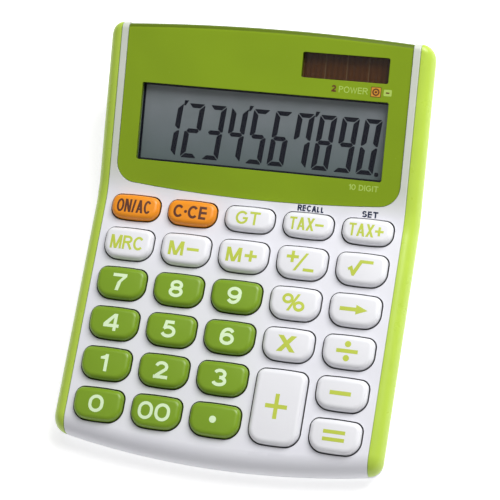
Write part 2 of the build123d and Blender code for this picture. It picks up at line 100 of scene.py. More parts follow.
class Nodes:
    """A material's node tree, with short calls for the nodes used here."""

    def __init__(self, name):
        self.material = bpy.data.materials.new(name)
        self.material.use_nodes = True
        self.tree = self.material.node_tree
        self.shader = self.tree.nodes["Principled BSDF"]
        self.output = self.tree.nodes["Material Output"]
        self.place = self.add("ShaderNodeTexCoord").outputs["Object"]

    def add(self, kind, **settings):
        node = self.tree.nodes.new(kind)
        for key, value in settings.items():
            setattr(node, key, value)
        return node

    def link(self, source, target):
        self.tree.links.new(source, target)
        return target

    def feed(self, **sources):
        """Links sockets to the shader's inputs of these names."""
        for socket, source in sources.items():
            self.link(source, self.shader.inputs[socket.replace("_", " ")])

    def set(self, **values):
        """Sets the shader's inputs of these names."""
        for socket, value in values.items():
            self.shader.inputs[socket.replace("_", " ")].default_value = value

    def noise(self, size_mm, detail=3.0, roughness=0.5):
        node = self.add("ShaderNodeTexNoise")
        self.link(self.place, node.inputs["Vector"])
        node.inputs["Scale"].default_value = 1.0 / (size_mm * MM)
        node.inputs["Detail"].default_value = detail
        node.inputs["Roughness"].default_value = roughness
        return node.outputs["Fac"]

    def span(self, source, low, high, start=0.3, end=0.7):
        """source, from start to end, spread over low to high."""
        node = self.add("ShaderNodeMapRange")
        self.link(source, node.inputs["Value"])
        for socket, value in (("From Min", start), ("From Max", end), ("To Min", low), ("To Max", high)):
            node.inputs[socket].default_value = value
        return node.outputs["Result"]

    def patches(self, size_mm, low=0.0, high=1.0, detail=3.0, roughness=0.5):
        """Soft patches of about this size, between two values."""
        return self.span(self.noise(size_mm, detail, roughness), low, high)

    def math(self, operation, first, second=0.0):
        node = self.add("ShaderNodeMath", operation=operation)
        for socket, value in zip(node.inputs, (first, second)):
            if isinstance(value, (int, float)):
                socket.default_value = value
            else:
                self.link(value, socket)
        return node.outputs[0]

    def blend(self, factor, first, second):
        """Mixes two colours, each a constant or a socket."""
        node = self.add("ShaderNodeMix", data_type="RGBA")
        self.link(factor, node.inputs["Factor"])
        for socket, value in ((node.inputs[6], first), (node.inputs[7], second)):
            if isinstance(value, tuple):
                socket.default_value = value
            else:
                self.link(value, socket)
        return node.outputs[2]

    def bump(self, height, depth_mm, normal=None):
        node = self.add("ShaderNodeBump")
        self.link(height, node.inputs["Height"])
        node.inputs["Distance"].default_value = depth_mm * MM
        if normal:
            self.link(normal, node.inputs["Normal"])
        return node.outputs["Normal"]

    def mix_shaders(self, factor, first, second):
        """Sends two shaders, mixed by a factor, to the surface."""
        mix = self.add("ShaderNodeMixShader")
        for socket, source in zip(mix.inputs, (factor, first.outputs[0], second.outputs[0])):
            self.link(source, socket)
        self.link(mix.outputs[0], self.output.inputs["Surface"])

    def soft_edges(self, radius_mm):
        """Normals that round the sharp edges off by this radius."""
        node = self.add("ShaderNodeBevel", samples=4)
        node.inputs["Radius"].default_value = radius_mm * MM
        return node.outputs["Normal"]

    def sunk(self, full_mm, none_mm):
        """1 this far below the keypad surface, falling to 0 nearer to it or above it."""
        height = self.add("ShaderNodeVectorMath", operation="DOT_PRODUCT")
        self.link(self.place, height.inputs[0])
        height.inputs[1].default_value = CASE_UP
        level = CASE_UP.dot(CASE.translation)
        return self.span(height.outputs["Value"], 1.0, 0.0, level - full_mm * MM, level - none_mm * MM)

    def turned_from(self, direction, full, none):
        """1 where the surface's normal leans well away from a direction, 0 where it faces it."""
        compare = self.add("ShaderNodeVectorMath", operation="DOT_PRODUCT")
        self.link(self.add("ShaderNodeTexCoord").outputs["Normal"], compare.inputs[0])
        compare.inputs[1].default_value = direction
        return self.span(compare.outputs["Value"], 1.0, 0.0, full, none)

    def coordinate(self, axis):
        node = self.add("ShaderNodeSeparateXYZ")
        self.link(self.place, node.inputs["Vector"])
        return node.outputs[axis]

    def within(self, axis, middle_mm, reach_mm, fade_mm):
        """1 up to this far from the middle along an axis, fading to 0 at the end of that reach."""
        away = self.math("ABSOLUTE", self.math("SUBTRACT", self.coordinate(axis), middle_mm * MM))
        return self.span(away, 1.0, 0.0, (reach_mm - fade_mm) * MM, reach_mm * MM)


def plastic(name, colour, rough, mottle=0.03, grain_mm=0.35, grain_depth=0.004, edge=0.0, **values):
    """Moulded plastic: slightly uneven colour and gloss, a fine moulded grain, and softened edges."""
    nodes = Nodes(name)
    rounded = nodes.soft_edges(edge) if edge else None
    nodes.feed(
        Base_Color=nodes.blend(nodes.patches(14.0), scaled(colour, 1 - mottle), scaled(colour, 1 + mottle)),
        Roughness=nodes.patches(5.0, rough - 0.04, rough + 0.05, detail=5.0),
        Normal=nodes.bump(nodes.noise(grain_mm, 2.0), grain_depth, rounded),
    )
    nodes.set(**values)
    return nodes.material


def key_plastic(name, colour, mottle):
    """Key plastic, with painted shade down the skirt where it runs in its well."""
    nodes = Nodes(name)
    face = nodes.blend(nodes.patches(14.0), scaled(colour, 1 - mottle), scaled(colour, 1 + mottle))
    nodes.feed(
        # painted shade: the skirt turns dark below the keypad surface, where its well shades it
        Base_Color=nodes.blend(nodes.sunk(0.5, -0.15), face, scaled(colour, 0.12)),
        Roughness=nodes.patches(5.0, 0.32, 0.42, detail=5.0),
        Normal=nodes.bump(nodes.noise(0.5, 2.0), 0.002),
    )
    return nodes.material


def case_white():
    """The white upper case, with painted shade on the deck round the display and in the key wells."""
    nodes = Nodes("case_white")
    deck_start = DISPLAY.translation.y
    # painted shade and painted reflection: greyer and a touch greener on the deck round the display
    deck = nodes.span(nodes.coordinate("Y"), 0.0, 1.0, deck_start, deck_start + 9 * MM)
    white = nodes.blend(deck, rgb(232, 232, 238), rgb(210, 214, 203))
    grey = nodes.blend(deck, rgb(229, 229, 236), rgb(202, 207, 195))
    among_keys = nodes.math(
        "MULTIPLY", nodes.within("X", 0.0, WELLS_SIDE, 0.4), nodes.within("Y", WELLS_MIDDLE, WELLS_REACH, 0.5)
    )
    # painted shade: the key wells' walls turn dark, as the deep gaps beside the keys are shaded
    well = nodes.math("MULTIPLY", nodes.turned_from(CASE_UP, 0.3, 0.5), among_keys)
    nodes.feed(
        Base_Color=nodes.blend(well, nodes.blend(nodes.patches(14.0), grey, white), rgb(40, 42, 52)),
        Roughness=nodes.patches(5.0, 0.38, 0.47, detail=5.0),
        Normal=nodes.bump(nodes.noise(0.3, 2.0), 0.006, nodes.soft_edges(0.22)),
    )
    return nodes.material


def gloss_panel():
    """Glossy panel, a little uneven in broad soft patches, with painted shade along its edges."""
    nodes = Nodes("panel_green")
    colour = rgb(132, 160, 20)
    face = nodes.blend(nodes.patches(30.0, detail=2.0), scaled(colour, 0.94), scaled(colour, 1.05))
    # painted shade: darker where the surface turns away from the panel's face, along its edges
    painted_edge_shade = nodes.turned_from(DISPLAY_UP, 0.93, 0.985)
    nodes.feed(
        Base_Color=nodes.blend(painted_edge_shade, face, scaled(colour, 0.45)),
        Roughness=nodes.patches(1.2, 0.2, 0.28, detail=6.0, roughness=0.7),
        Normal=nodes.bump(nodes.noise(9.0, 1.0), 0.01, nodes.soft_edges(0.3)),
    )
    nodes.set(Specular_IOR_Level=0.3, Coat_Weight=0.1, Coat_Roughness=0.08)
    return nodes.material


def clear_window():
    """Thin clear sheet: light goes straight through it, and its gloss grows as it is seen edge-on."""
    nodes = Nodes("window_clear")
    nodes.tree.nodes.remove(nodes.shader)
    clear = nodes.add("ShaderNodeBsdfTransparent")
    clear.inputs["Color"].default_value = (0.97, 0.985, 0.975, 1.0)
    gloss = nodes.add("ShaderNodeBsdfGlossy")
    gloss.inputs["Color"].default_value = (1.0, 1.0, 1.0, 1.0)
    nodes.link(nodes.patches(6.0, 0.03, 0.07, detail=4.0), gloss.inputs["Roughness"])
    facing = nodes.add("ShaderNodeLayerWeight")
    facing.inputs["Blend"].default_value = 0.5
    grazing = nodes.math("POWER", facing.outputs["Facing"], 5.0)
    nodes.mix_shaders(nodes.span(grazing, 0.012, 0.8, 0.0, 1.0), clear, gloss)
    return nodes.material


def display_glass():
    """Grey reflective display with a fine polariser grain, and painted light: lighter towards the top, darker
    and a touch greener low down.
    """
    nodes = Nodes("display_grey")
    # painted light: the top is lighter, making up for the shadow that the window's recess casts on it
    painted_light_rise = nodes.span(nodes.coordinate("Y"), 0.0, 1.0, 25 * MM, 50 * MM)
    base = nodes.blend(painted_light_rise, rgb(98, 108, 113), rgb(140, 141, 149))
    nodes.feed(
        Base_Color=nodes.blend(nodes.patches(8.0, 0.0, 0.3), base, rgb(101, 111, 112)),
        Roughness=nodes.patches(0.4, 0.42, 0.52, detail=2.0),
    )
    nodes.set(Specular_IOR_Level=0.25)
    return nodes.material


def solar_glass(middle_x, width):
    """Amorphous solar cell: four brown cells with thin paler lines between them and faint streaks."""
    nodes = Nodes("solar_brown")
    cells_along = nodes.math("MULTIPLY", nodes.math("SUBTRACT", nodes.coordinate("X"), middle_x), 4 / width)
    offset = nodes.math("ABSOLUTE", nodes.math("SUBTRACT", nodes.math("FRACT", cells_along), 0.5))
    line = nodes.span(offset, 0.0, 1.0, 0.475, 0.485)
    streak = nodes.add("ShaderNodeTexWave", bands_direction="X")
    nodes.link(nodes.place, streak.inputs["Vector"])
    for socket, value in (("Scale", 180.0), ("Distortion", 3.0), ("Detail", 3.0)):
        streak.inputs[socket].default_value = value
    cells = nodes.blend(streak.outputs["Fac"], rgb(70, 35, 4), rgb(82, 44, 9))
    nodes.feed(
        Base_Color=nodes.blend(line, cells, rgb(104, 78, 54)),
        Roughness=nodes.patches(3.0, 0.22, 0.3),
    )
    nodes.set(Specular_IOR_Level=0.2)
    return nodes.material


def board_green():
    """Solder-masked board: raised tracks under the green, and small pale pads."""
    nodes = Nodes("board_green")

    def grid(**settings):
        node = nodes.add("ShaderNodeTexVoronoi", **settings)
        nodes.link(nodes.place, node.inputs["Vector"])
        node.inputs["Scale"].default_value = 230.0
        return node.outputs["Distance"]

    track = nodes.span(grid(distance="CHEBYCHEV", feature="DISTANCE_TO_EDGE"), 1.0, 0.0, 0.05, 0.09)
    pad = nodes.span(grid(), 1.0, 0.0, 0.1, 0.14)
    base = nodes.blend(track, rgb(24, 82, 44), rgb(44, 120, 62))
    nodes.feed(Base_Color=nodes.blend(pad, base, rgb(196, 192, 176)), Normal=nodes.bump(track, 0.03))
    nodes.set(Roughness=0.35)
    return nodes.material


def metal(name, colour, rough, scratch_mm=0.5):
    """Plated metal with a brushed, uneven gloss."""
    nodes = Nodes(name)
    nodes.feed(
        Base_Color=nodes.blend(nodes.patches(3.0, detail=4.0), scaled(colour, 0.88), scaled(colour, 1.05)),
        Roughness=nodes.patches(scratch_mm, rough - 0.07, rough + 0.1, detail=6.0, roughness=0.7),
        Normal=nodes.bump(nodes.noise(scratch_mm, 4.0), 0.004),
    )
    nodes.set(Metallic=1.0)
    return nodes.material


def ink(name, colour, rough=0.45, **values):
    """Printed or double-shot lettering, with a slight unevenness."""
    return plastic(name, colour, rough, mottle=0.05, grain_mm=0.15, grain_depth=0.001, **values)


SOLAR_LOW, SOLAR_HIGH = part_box("solar_window")
MATERIALS = {
    "white_shell": case_white(),
    "white_base": plastic("base_white", rgb(226, 227, 231), 0.5, 0.015, 0.25, 0.012, edge=0.2),
    "green_trim": plastic("trim_green", rgb(182, 210, 74), 0.3, 0.03, 0.6, 0.002, edge=0.25),
    "gloss_panel": gloss_panel(),
    "clear_window": clear_window(),
    "lcd_glass": display_glass(),
    "black_plastic": plastic("holder_black", rgb(34, 34, 36), 0.55),
    "flex_film": plastic("ribbon_amber", rgb(176, 118, 52), 0.3, 0.08, 0.9, 0.01),
    "solar_cell": solar_glass((SOLAR_LOW.x + SOLAR_HIGH.x) / 2, SOLAR_WIDTH * MM),
    "wire_cover": plastic("wire_red", rgb(170, 34, 30), 0.4),
    # a real part, but its dark grey is painted shade: it darkens the gaps round the keys
    "silicone": plastic("sheet_grey", rgb(84, 87, 92), 0.6, 0.04, Subsurface_Weight=0.1),
    "board": board_green(),
    "black_resin": plastic("resin_black", rgb(28, 28, 30), 0.3, 0.1, 1.2, 0.03),
    "steel": metal("screw_steel", rgb(176, 178, 182), 0.3),
    "cell_steel": metal("cell_steel", rgb(206, 206, 204), 0.22, 0.8),
    "contact_metal": metal("contact_tin", rgb(200, 190, 160), 0.3),
    "foot_rubber": plastic("foot_rubber", rgb(52, 53, 56), 0.75, 0.08, 0.5, 0.02),
    "orange_key": key_plastic("key_orange", rgb(240, 146, 18), 0.03),
    "green_key": key_plastic("key_green", rgb(123, 158, 26), 0.03),
    "white_key": key_plastic("key_white", rgb(234, 234, 238), 0.012),
}
LEGEND_DARK = ink("legend_brown", rgb(92, 48, 26))
LEGEND_PALE = ink("legend_pale", rgb(222, 244, 200))
LEGEND_LIME = ink("legend_lime", rgb(192, 205, 72))
LEGEND_NAVY = ink("legend_navy", rgb(22, 34, 66))
PANEL_PALE = ink("panel_pale", rgb(176, 204, 92))
PANEL_RED = ink("panel_red", rgb(96, 48, 8))
PANEL_ORANGE = ink("panel_orange", rgb(214, 150, 44))
DIGIT_DARK = ink("digit_dark", rgb(14, 15, 30), 0.6, Specular_IOR_Level=0.1)

for node, slot in MATERIAL_SLOTS.items():
    mesh = frame["nodes"][node].data
    mesh.materials.clear()
    mesh.materials.append(MATERIALS[slot])


# ---- flat figures, in millimetres about their own centre ----
def polygon(*points):
    figure = bmesh.new()
    figure.faces.new([figure.verts.new((x, y, 0)) for x, y in points])
    return figure


def disc(x, y, radius, sides=28):
    turns = [math.tau * step / sides for step in range(sides)]
    return polygon(*[(x + radius * math.cos(t), y + radius * math.sin(t)) for t in turns])


def ring(x, y, outer, inner, sides=36):
    figure = bmesh.new()
    turns = [math.tau * step / sides for step in range(sides)]
    loops = [
        [figure.verts.new((x + r * math.cos(t), y + r * math.sin(t), 0)) for t in turns]
        for r in (outer, inner)
    ]
    for step in range(sides):
        after = (step + 1) % sides
        figure.faces.new((loops[0][step], loops[0][after], loops[1][after], loops[1][step]))
    return figure


def block(left, low, right, high):
    """A rectangle between two opposite corners."""
    return polygon((left, low), (right, low), (right, high), (left, high))


def rectangle(x, y, width, height):
    return block(x - width / 2, y - height / 2, x + width / 2, y + height / 2)


def rounded(x, y, width, height, radius, steps=5):
    """A rectangle with round corners."""
    points = []
    for corner, (side_x, side_y) in enumerate(((1, 1), (-1, 1), (-1, -1), (1, -1))):
        centre_x = x + side_x * (width / 2 - radius)
        centre_y = y + side_y * (height / 2 - radius)
        for step in range(steps + 1):
            turn = math.pi / 2 * (corner + step / steps)
            points.append((centre_x + radius * math.cos(turn), centre_y + radius * math.sin(turn)))
    return polygon(*points)


def joined(*figures):
    """One figure out of several, which are used up."""
    whole = bmesh.new()
    for figure in figures:
        mesh = bpy.data.meshes.new("part")
        figure.to_mesh(mesh)
        figure.free()
        whole.from_mesh(mesh)
        bpy.data.meshes.remove(mesh)
    return whole


def plus(x, y, width, height, stroke):
    half_x, half_y, half = width / 2, height / 2, stroke / 2
    quarter = [(half_x, half), (half, half), (half, half_y)]
    points = list(quarter)
    points += [(-px, py) for px, py in reversed(quarter)]
    points += [(-px, -py) for px, py in quarter]
    points += [(px, -py) for px, py in reversed(quarter)]
    return polygon(*[(x + px, y + py) for px, py in points])


# ---- a plain sans lettering, drawn as strokes ----
def arc(x, y, radius_x, radius_y, start, end):
    """Points along part of an ellipse, in degrees counter-clockwise from the right."""
    steps = max(2, round(abs(end - start) / 15))
    turns = [math.radians(start + (end - start) * step / steps) for step in range(steps + 1)]
    return [(x + radius_x * math.cos(t), y + radius_y * math.sin(t)) for t in turns]


def oval(x, y, radius_x, radius_y):
    return arc(x, y, radius_x, radius_y, 0, 345) + ["closed"]


def stadium(x, radius_x, low, high, bend):
    """A tall loop: round ends of this height and straight sides."""
    top = arc(x, high - bend, radius_x, bend, 0, 180)
    bottom = arc(x, low + bend, radius_x, bend, 180, 360)
    return top + bottom + ["closed"]


def stroked(*paths):
    """A letter made of even strokes, their middle lines in a unit box."""
    def draw(width, height, stroke):
        return [brush(path, width, height, stroke) for path in paths]
    return draw


def draw_one(width, height, stroke):
    shoulder = 0.7 * height
    flag = polygon(
        (0, shoulder), (width - 0.5 * stroke, shoulder), (width, height), (width - 0.72 * stroke, height),
        (0.42 * width, 0.78 * height + 0.62 * stroke), (0, shoulder + 0.72 * stroke),
    )
    return [block(width - stroke, 0, width, height), flag]


def draw_four(width, height, stroke):
    stem_left, low = 0.9 * width - 1.3 * stroke, 0.2 * height
    slant = polygon(
        (0, low + 0.6 * stroke), (1.25 * stroke, low + 0.6 * stroke), (stem_left + stroke, height),
        (stem_left - 0.1 * stroke, height), (0, low + 1.15 * stroke),
    )
    stem = block(stem_left, 0, stem_left + stroke, height)
    return [stem, block(0, low, width, low + stroke), slant]


def draw_seven(width, height, stroke):
    under, middle = height - stroke, 0.5 * height
    return [polygon(
        (0, height), (0, under), (width - 1.3 * stroke, under), (0.6 * width - 0.95 * stroke, middle),
        (0.44 * width - 0.8 * stroke, 0), (0.44 * width + 0.35 * stroke, 0),
        (0.6 * width + 0.2 * stroke, middle), (width, height - 0.9 * stroke), (width, height),
    )]


def leaning_bar(width, height, x_low, x_high, stroke):
    """A slanting stroke with level ends, between these shares of the width."""
    half = 0.56 * stroke
    low, high = half + x_low * (width - 2 * half), half + x_high * (width - 2 * half)
    return polygon((low - half, 0), (low + half, 0), (high + half, height), (high - half, height))


def draw_a(width, height, stroke):
    legs = [leaning_bar(width, height, foot, 0.5, stroke) for foot in (0, 1)]
    low = 0.23 * height
    return legs + [block(0.2 * width, low, 0.8 * width, low + 0.85 * stroke)]


def draw_x(width, height, stroke):
    return [leaning_bar(width, height, foot, 1 - foot, 1.05 * stroke) for foot in (0, 1)]


def draw_slash(width, height, stroke):
    return [leaning_bar(width, height, 0, 1, 0.9 * stroke)]


def draw_percent(width, height, stroke):
    rings = stroked(oval(0.21, 0.74, 0.21, 0.26), oval(0.79, 0.26, 0.21, 0.26))
    return rings(width, height, stroke) + [leaning_bar(width, height, 0.27, 0.73, 0.9 * stroke)]


def two_sides(width, height, stroke):
    return [leaning_bar(width, height, side, side, 0.9 * stroke) for side in (0, 1)]


def draw_m(width, height, stroke):
    slants = [leaning_bar(width, height, 0.5, top, 1.05 * stroke) for top in (0.02, 0.98)]
    return two_sides(width, height, stroke) + slants


def draw_n(width, height, stroke):
    return two_sides(width, height, stroke) + [leaning_bar(width, height, 1, 0, 1.1 * stroke)]


SIX = [oval(0.5, 0.31, 0.5, 0.31), arc(0.54, 0.5, 0.54, 0.5, 38, 195)]
NINE = [[p if p == "closed" else (1 - p[0], 1 - p[1]) for p in path] for path in SIX]
BOWL = [(0, 1), (0.5, 1)] + arc(0.52, 0.76, 0.46, 0.24, 75, -75) + [(0.5, 0.52), (0, 0.52)]
D_LOOP = [(0, 0), (0, 1), (0.4, 1)] + arc(0.42, 0.5, 0.58, 0.5, 75, -75) + [(0.4, 0), "closed"]

# each letter: its width as a share of its height, and how it is drawn
LETTERS = {
    "0": (0.80, stroked(stadium(0.5, 0.5, 0, 1, 0.42))),
    "1": (0.40, draw_one),
    "2": (0.82, stroked(arc(0.48, 0.71, 0.46, 0.29, 170, -30) + [(0.06, 0.05)], [(0, 0), (1, 0)])),
    "3": (0.82, stroked(arc(0.46, 0.745, 0.44, 0.255, 160, -90), arc(0.46, 0.255, 0.52, 0.255, 90, -165))),
    "4": (0.88, draw_four),
    "5": (0.82, stroked([(0.92, 1), (0.22, 1), (0.1, 0.5)], arc(0.46, 0.32, 0.54, 0.32, 140, -160))),
    "6": (0.82, stroked(*SIX)),
    "7": (0.82, draw_seven),
    "8": (0.82, stroked(oval(0.5, 0.755, 0.43, 0.245), oval(0.5, 0.27, 0.5, 0.27))),
    "9": (0.82, stroked(*NINE)),
    "A": (0.94, draw_a),
    "C": (0.94, stroked(arc(0.53, 0.5, 0.53, 0.5, 40, 320))),
    "D": (0.88, stroked(D_LOOP)),
    "E": (0.78, stroked([(1, 1), (0, 1), (0, 0), (1, 0)], [(0, 0.52), (0.92, 0.52)])),
    "G": (1.02, stroked(arc(0.5, 0.5, 0.5, 0.5, 40, 330) + [(0.97, 0.45), (0.58, 0.45)])),
    "I": (0.26, stroked([(0.5, 0), (0.5, 1)])),
    "L": (0.70, stroked([(0, 1), (0, 0), (1, 0)])),
    "M": (1.08, draw_m),
    "N": (0.92, draw_n),
    "O": (1.02, stroked(stadium(0.5, 0.5, 0, 1, 0.46))),
    "P": (0.80, stroked([(0, 0), (0, 1)], BOWL)),
    "R": (0.90, stroked([(0, 0), (0, 1)], BOWL, [(0.52, 0.52), (1, 0)])),
    "S": (0.84, stroked(arc(0.5, 0.745, 0.44, 0.255, 25, 270) + arc(0.5, 0.255, 0.5, 0.255, 90, -155))),
    "T": (0.84, stroked([(0, 1), (1, 1)], [(0.5, 1), (0.5, 0)])),
    "W": (1.30, stroked([(0, 1), (0.26, 0), (0.5, 0.95), (0.74, 0), (1, 1)])),
    "X": (0.92, draw_x),
    "/": (0.52, draw_slash),
    "%": (1.25, draw_percent),
    " ": (0.40, stroked()),
}
LETTER_GAP = 0.1                 # as a share of the letters' height
SHARPEST_MITRE = 0.45            # limits how far a stroke's corner reaches out
SAME_POINT = 1e-4                # points of a flat figure this close are one


def brush(path, width, height, stroke):
    """An even stroke along a unit-box line in a letter of this size, mitred, square at its ends.

    A straight line of two points is made longer at both ends by half the stroke."""
    closed = path[-1] == "closed"
    span_x, span_y = max(0.0, width - stroke), height - stroke
    points = path[:-1] if closed else path
    line = [Vector((stroke / 2 + x * span_x, stroke / 2 + y * span_y)) for x, y in points]
    if len(line) == 2:
        reach = (line[1] - line[0]).normalized() * stroke / 2
        line = [line[0] - reach, line[1] + reach]
    count = len(line)
    figure = bmesh.new()
    rows = []
    for index, point in enumerate(line):
        steps = []
        if closed or index > 0:
            steps.append((point - line[index - 1]).normalized())
        if closed or index < count - 1:
            steps.append((line[(index + 1) % count] - point).normalized())
        sides = [Vector((-step.y, step.x)) for step in steps]
        middle = sum(sides, Vector((0, 0))).normalized()
        offset = middle * stroke / 2 / max(SHARPEST_MITRE, middle.dot(sides[0]))
        rows.append([figure.verts.new((*corner, 0)) for corner in (point + offset, point - offset)])
    for index in range(count if closed else count - 1):
        (left, right), (next_left, next_right) = rows[index], rows[(index + 1) % count]
        figure.faces.new((left, next_left, next_right, right))
    return figure


def lettering(text, width, height, stroke):
    """A word about its own centre, spread to this overall width."""
    shares = [LETTERS[c][0] for c in text]
    unit = width / (sum(shares) + LETTER_GAP * (len(text) - 1))
    figures = []
    x = -width / 2
    for character, share in zip(text, shares):
        for figure in LETTERS[character][1](share * unit, height, stroke):
            figures.append(moved(figure, x, -height / 2))
        x += (share + LETTER_GAP) * unit
    return joined(*figures)


def moved(figure, x, y):
    """The same figure, shifted."""
    bmesh.ops.translate(figure, vec=(x, y, 0), verts=figure.verts)
    return figure


def merged(figure):
    """The same flat area without overlaps, so that crossing strokes become one sheet."""
    corners = [vert.co.xy for vert in figure.verts]
    figure.verts.index_update()
    figure.normal_update()
    faces = []
    for face in figure.faces:
        order = [vert.index for vert in face.verts]
        faces.append(order if face.normal.z > 0 else order[::-1])
    figure.free()
    points, _, triangles, _, _, sources = delaunay_2d_cdt(corners, [], faces, 1, SAME_POINT)
    whole = bmesh.new()
    verts = [whole.verts.new((*point, 0)) for point in points]
    for triangle, source in zip(triangles, sources):
        if source:
            whole.faces.new([verts[index] for index in triangle])
    loose = [vert for vert in verts if not vert.link_faces]
    bmesh.ops.delete(whole, geom=loose, context="VERTS")
    bmesh.ops.remove_doubles(whole, verts=whole.verts, dist=SAME_POINT)
    return whole


# ---- pieces, and printing a figure onto a surface ----
SURFACES = {}
DROP_FROM = 30.0                 # above every surface that is printed on
LARGE_FACES = 30.0               # the longest edge on a flat surface, where short ones aren't needed


def add_piece(name, figure, material, body):
    """Makes a finished shape, in metres, into a piece that moves with a body."""
    mesh = bpy.data.meshes.new(name)
    figure.to_mesh(mesh)
    figure.free()
    mesh.materials.clear()
    mesh.materials.append(material)
    piece = bpy.data.objects.new(name, mesh)
    bpy.context.scene.collection.objects.link(piece)
    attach(piece, body)
    return piece


def surface(node):
    """A CAD piece's surface, to drop points onto."""
    if node not in SURFACES:
        figure = bmesh.new()
        figure.from_mesh(frame["nodes"][node].data)
        SURFACES[node] = BVHTree.FromBMesh(figure)
        figure.free()
    return SURFACES[node]


def cut_finely(figure, longest):
    """Cuts a figure's faces into triangles and halves the edges over this length, up to six times."""
    for _ in range(6):
        bmesh.ops.triangulate(figure, faces=figure.faces)
        long_edges = [e for e in figure.edges if e.calc_length() > longest]
        if not long_edges:
            break
        bmesh.ops.subdivide_edges(figure, edges=long_edges, cuts=1)
    bmesh.ops.triangulate(figure, faces=figure.faces)


def thickened(figure, down, depth_mm):
    """A sheet that faces up, made into a solid of this depth."""
    bmesh.ops.recalc_face_normals(figure, faces=figure.faces)
    if sum(face.normal.dot(down) for face in figure.faces) > 0:
        bmesh.ops.reverse_faces(figure, faces=figure.faces)
    grown = bmesh.ops.extrude_face_region(figure, geom=list(figure.faces), use_keep_orig=True)
    lower = [v for v in grown["geom"] if isinstance(v, bmesh.types.BMVert)]
    bmesh.ops.translate(figure, vec=down * depth_mm * MM, verts=lower)
    bmesh.ops.recalc_face_normals(figure, faces=figure.faces)


def print_on(name, figure, node, place, material, lift=0.025, depth=0.05, longest=1.2):
    """Drops a flat figure onto a CAD piece along place's Z, as a thin solid that follows the surface."""
    figure = merged(figure)
    cut_finely(figure, longest)
    for face in figure.faces:
        if face.normal.z < 0:
            face.normal_flip()
    tree = surface(node)
    down = -(place.to_3x3() @ Vector((0, 0, 1))).normalized()
    for vert in figure.verts:
        start = place @ Vector((vert.co.x, vert.co.y, DROP_FROM))
        hit = tree.ray_cast(start, down)[0]
        vert.co = hit - down * lift * MM
    thickened(figure, down, depth)
    body = next(body for body, nodes in BODIES.items() if node in nodes)
    return add_piece(name, figure, material, body)


# ---- key legends ----
def mark_figure(mark, x, width, height, stroke):
    """A minus or a plus."""
    return rectangle(x, 0, width, stroke) if mark == "-" else plus(x, 0, width, height, stroke)


def sign_figure():
    """Plus over a slash over minus."""
    slant = moved(joined(*draw_slash(4.4, 5.8, 0.9)), -2.0, -3.0)
    return joined(plus(-2.6, 1.4, 3.9, 3.7, 1.0), slant, rectangle(2.9, -2.5, 3.4, 0.95))


def root_figure():
    return polygon(
        (-3.9, -0.25), (-2.6, 0.65), (-2.0, -0.75), (-0.3, 2.6), (3.9, 2.6), (3.9, 1.6),
        (0.45, 1.6), (-1.6, -2.6), (-2.35, -2.6), (-3.1, -0.75), (-3.5, -1.0),
    )


def arrow_figure():
    return polygon(
        (-4.35, -0.62), (0.7, -0.62), (0.7, -1.55), (4.4, 0.0), (0.7, 1.55), (0.7, 0.62), (-4.35, 0.62)
    )


def divide_figure():
    return joined(rectangle(0, 0, 6.7, 1.2), disc(0, 2.2, 0.98), disc(0, -2.2, 0.98))


def equals_figure():
    return joined(rectangle(0, 1.15, 6.8, 1.15), rectangle(0, -1.15, 6.8, 1.15))


def clear_figure():
    first = moved(lettering("C", 3.3, 4.2, 0.8), -4.0, 0)
    second = moved(lettering("CE", 6.4, 4.2, 0.8), 2.4, 0)
    return joined(first, second, disc(-1.58, 0, 0.5))


def memory_figure(mark):
    memory = moved(lettering("M", 5.0, 4.6, 0.95), -2.45, 0)
    return joined(memory, mark_figure(mark, 3.05, 3.9, 3.6, 0.95))


def tax_figure(mark):
    word = moved(lettering("TAX", 8.0, 4.1, 0.66), -1.5, 0)
    return joined(word, mark_figure(mark, 4.15, 2.7, 2.9, 0.75))


LEGENDS = {
    "key_on_ac": lambda: lettering("ON/AC", 11.4, 4.3, 0.66),
    "key_c_ce": clear_figure,
    "key_gt": lambda: lettering("GT", 7.9, 4.3, 0.72),
    "key_tax_minus": lambda: tax_figure("-"),
    "key_tax_plus": lambda: tax_figure("+"),
    "key_mrc": lambda: lettering("MRC", 11.0, 4.5, 0.76),
    "key_m_minus": lambda: memory_figure("-"),
    "key_m_plus": lambda: memory_figure("+"),
    "key_sign": sign_figure,
    "key_root": root_figure,
    "key_percent": lambda: lettering("%", 7.4, 5.5, 0.92),
    "key_arrow": arrow_figure,
    "key_multiply": lambda: lettering("X", 6.0, 5.1, 1.5),
    "key_divide": divide_figure,
    "key_minus": lambda: rectangle(0, 0, 6.6, 1.3),
    "key_plus": lambda: plus(0, 0, 6.9, 7.8, 1.3),
    "key_equals": equals_figure,
    "key_point": lambda: disc(0, 0, 1.1),
    "key_00": lambda: lettering("00", 10.4, 5.6, 0.98),
}
NUMERAL_WIDTHS = {"0": 4.9, "1": 2.5, "4": 5.1}
NUMERAL_WIDTH = 4.6
SLOT_LEGENDS = {"orange_key": LEGEND_DARK, "green_key": LEGEND_PALE, "white_key": LEGEND_LIME}


def key_legends():
    """Every key's legend, just left of and below the middle of its crown."""
    for key in KEYS:
        low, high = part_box(key)
        centre = CASE.inverted() @ ((low + high) / 2)
        place = CASE @ Matrix.Translation((centre.x - 0.15, centre.y - 0.1, 0))
        sign = key.removeprefix("key_")
        if key in LEGENDS:
            figure = LEGENDS[key]()
        else:
            figure = lettering(sign, NUMERAL_WIDTHS.get(sign, NUMERAL_WIDTH), 5.5, 1.02)
        print_on(f"legend_{sign}", figure, key, place, SLOT_LEGENDS[MATERIAL_SLOTS[key]])


def case_legends():
    """The two words printed on the case above their keys."""
    for text, x, y, width in (("RECALL", 19.0, 17.75, 8.6), ("SET", 37.9, 17.8, 5.1)):
        place = CASE @ Matrix.Translation((x, y, 0))
        figure = lettering(text, width, 1.95, 0.46)
        print_on(f"case_{text.lower()}", figure, "top_shell", place, LEGEND_NAVY)


